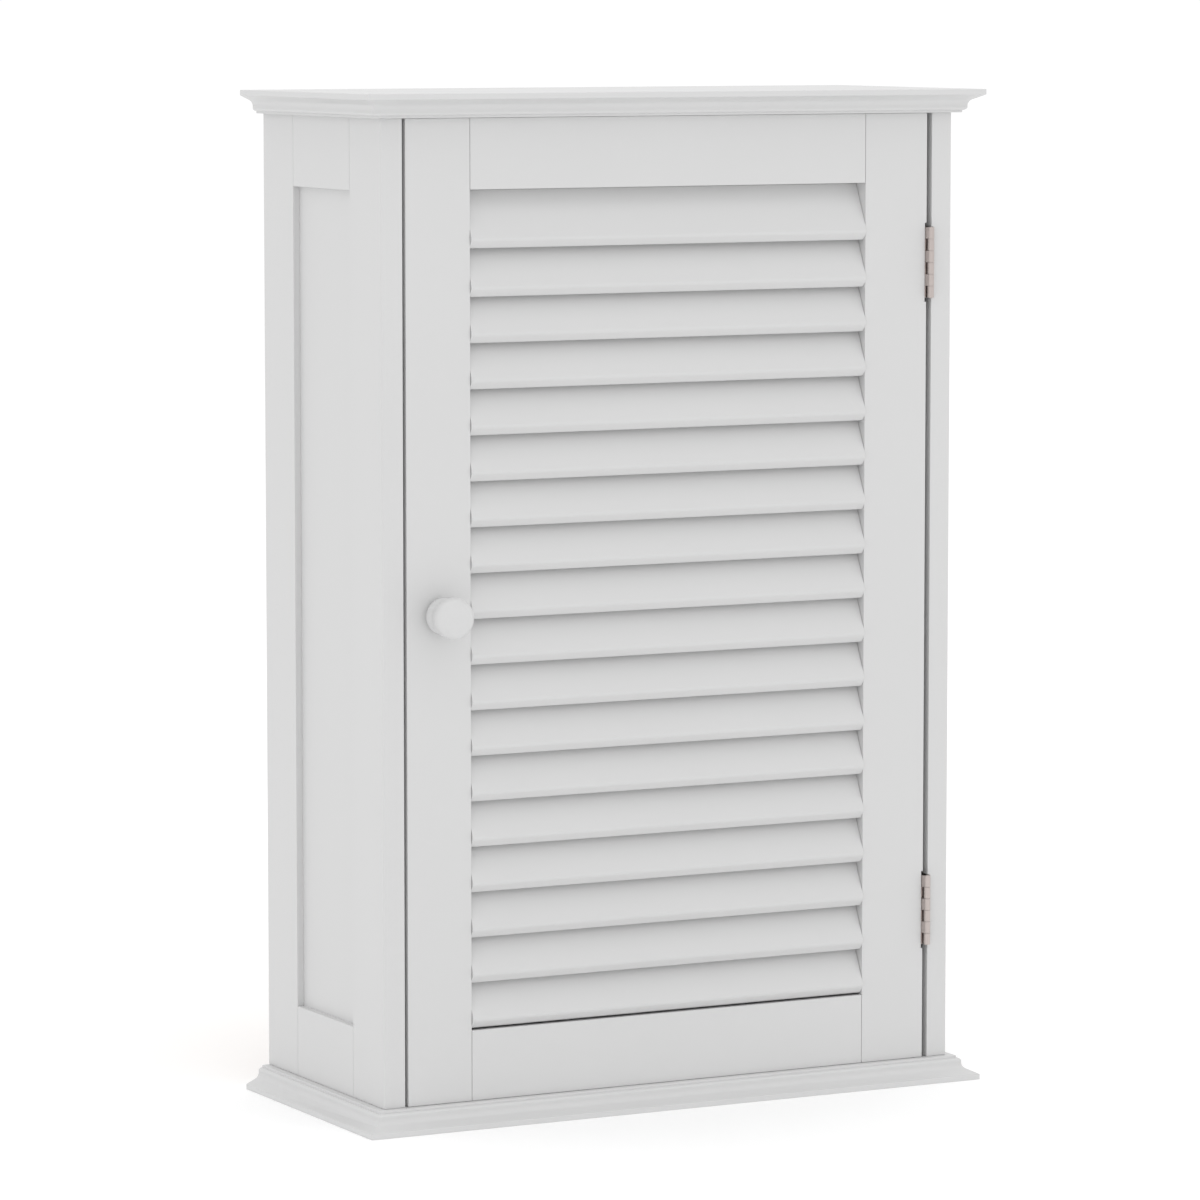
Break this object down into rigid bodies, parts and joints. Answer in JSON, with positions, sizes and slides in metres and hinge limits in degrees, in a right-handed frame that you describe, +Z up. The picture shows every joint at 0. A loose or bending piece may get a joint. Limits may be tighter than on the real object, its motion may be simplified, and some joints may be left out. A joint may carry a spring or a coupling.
{
  "type": "louvred door wall cabinet",
  "caption": "Wall cabinet with a louvred door on butt hinges, framed side panels, moulded top and base boards, an adjustable shelf and a magnetic catch.",
  "frame": {"origin": "centre of the whole cabinet's footprint, at the underside of the base board", "axes": "+Z up, +Y towards the back (the wall side), +X to the right as seen from the front; the door's face looks towards -Y"},
  "size_m": [0.4086, 0.187, 0.6],
  "materials": {
    "white_paint": "satin white paint on fibreboard",
    "hinge_nickel": "satin nickel plate on steel",
    "zinc_steel": "bright zinc plate on steel",
    "white_plastic": "moulded, fine matt",
    "ferrite": "dull dark grey magnet between steel pole plates"
  },
  "bodies": {
    "cabinet": {"top_board": "white_paint", "base_board": "white_paint", "left_front_stile": "white_paint", "left_back_stile": "white_paint", "left_top_rail": "white_paint", "left_bottom_rail": "white_paint", "left_panel": "white_paint", "right_front_stile": "white_paint", "right_back_stile": "white_paint", "right_top_rail": "white_paint", "right_bottom_rail": "white_paint", "right_panel": "white_paint", "back_panel": "white_paint", "hanging_rail": "white_paint", "left_keyhole_hanger": "zinc_steel", "right_keyhole_hanger": "zinc_steel", "shelf": "white_paint", "shelf_pin_left_front": "zinc_steel", "shelf_pin_left_back": "zinc_steel", "shelf_pin_right_front": "zinc_steel", "shelf_pin_right_back": "zinc_steel", "catch_housing": "white_plastic", "catch_magnet": "ferrite", "catch_screw_left": "zinc_steel", "catch_screw_right": "zinc_steel", "upper_hinge_frame_leaf": "hinge_nickel", "upper_hinge_pin": "hinge_nickel", "lower_hinge_frame_leaf": "hinge_nickel", "lower_hinge_pin": "hinge_nickel"},
    "door": {"door_latch_stile": "white_paint", "door_hinge_stile": "white_paint", "door_top_rail": "white_paint", "door_bottom_rail": "white_paint", "strike_plate": "zinc_steel", "strike_screw": "zinc_steel", "louvre_slat_01": "white_paint", "louvre_slat_02": "white_paint", "louvre_slat_03": "white_paint", "louvre_slat_04": "white_paint", "louvre_slat_05": "white_paint", "louvre_slat_06": "white_paint", "louvre_slat_07": "white_paint", "louvre_slat_08": "white_paint", "louvre_slat_09": "white_paint", "louvre_slat_10": "white_paint", "louvre_slat_11": "white_paint", "louvre_slat_12": "white_paint", "louvre_slat_13": "white_paint", "louvre_slat_14": "white_paint", "louvre_slat_15": "white_paint", "louvre_slat_16": "white_paint", "louvre_slat_17": "white_paint", "louvre_slat_18": "white_paint", "knob": "white_paint", "knob_screw": "zinc_steel", "upper_hinge_door_leaf": "hinge_nickel", "lower_hinge_door_leaf": "hinge_nickel"}
  },
  "joints": [
    {"name": "door_hinge", "type": "hinge", "parent": "cabinet", "child": "door", "pos_m": [0.1739, -0.0707, 0.3], "axis": [0, 0, 1], "range_deg": [0, 180]}
  ]
}
